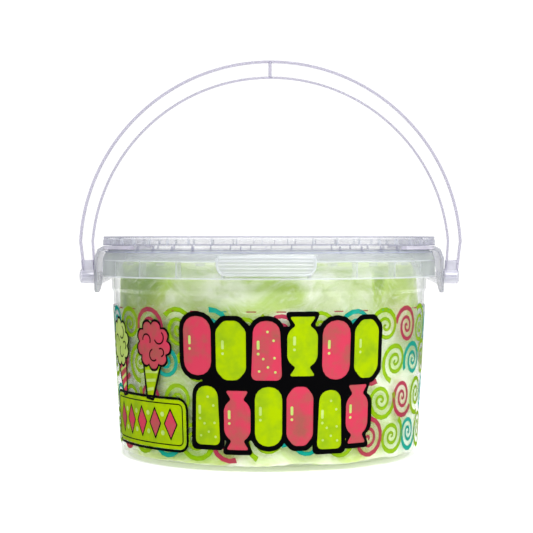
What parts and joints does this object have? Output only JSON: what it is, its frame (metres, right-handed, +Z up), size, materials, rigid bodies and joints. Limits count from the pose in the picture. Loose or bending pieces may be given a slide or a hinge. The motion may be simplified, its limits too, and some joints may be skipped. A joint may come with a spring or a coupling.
{
  "type": "tub of cotton candy",
  "caption": "Clear round plastic tub packed with green and white spun sugar, with a push-fit lid, a printed film band and a swinging bail handle.",
  "frame": {"origin": "centre of the tub's foot, on the surface that the tub stands on", "axes": "+Z up; X through the two ears and the handle's pins; -Y towards the front, where the tear tab is"},
  "size_m": [0.1852, 0.1607, 0.1886],
  "materials": {
    "clear_tub": "clear moulded polypropylene, smooth with a faint haze",
    "clear_lid": "clear moulded polypropylene, slightly hazy",
    "spun_sugar": "matt fibrous floss, pale green and white",
    "printed_film": "clear film printed in lime, pink, teal and black",
    "clear_handle": "clear moulded polypropylene with a cool tint"
  },
  "bodies": {
    "pack": {"tub": "clear_tub", "lid": "clear_lid", "spun_sugar": "spun_sugar", "print_sleeve": "printed_film"},
    "handle": {"handle": "clear_handle"}
  },
  "joints": [
    {"name": "handle_swing", "type": "hinge", "parent": "pack", "child": "handle", "pos_m": [0, 0, 0.0844], "axis": [1, 0, 0], "range_deg": [-128, 128]}
  ]
}
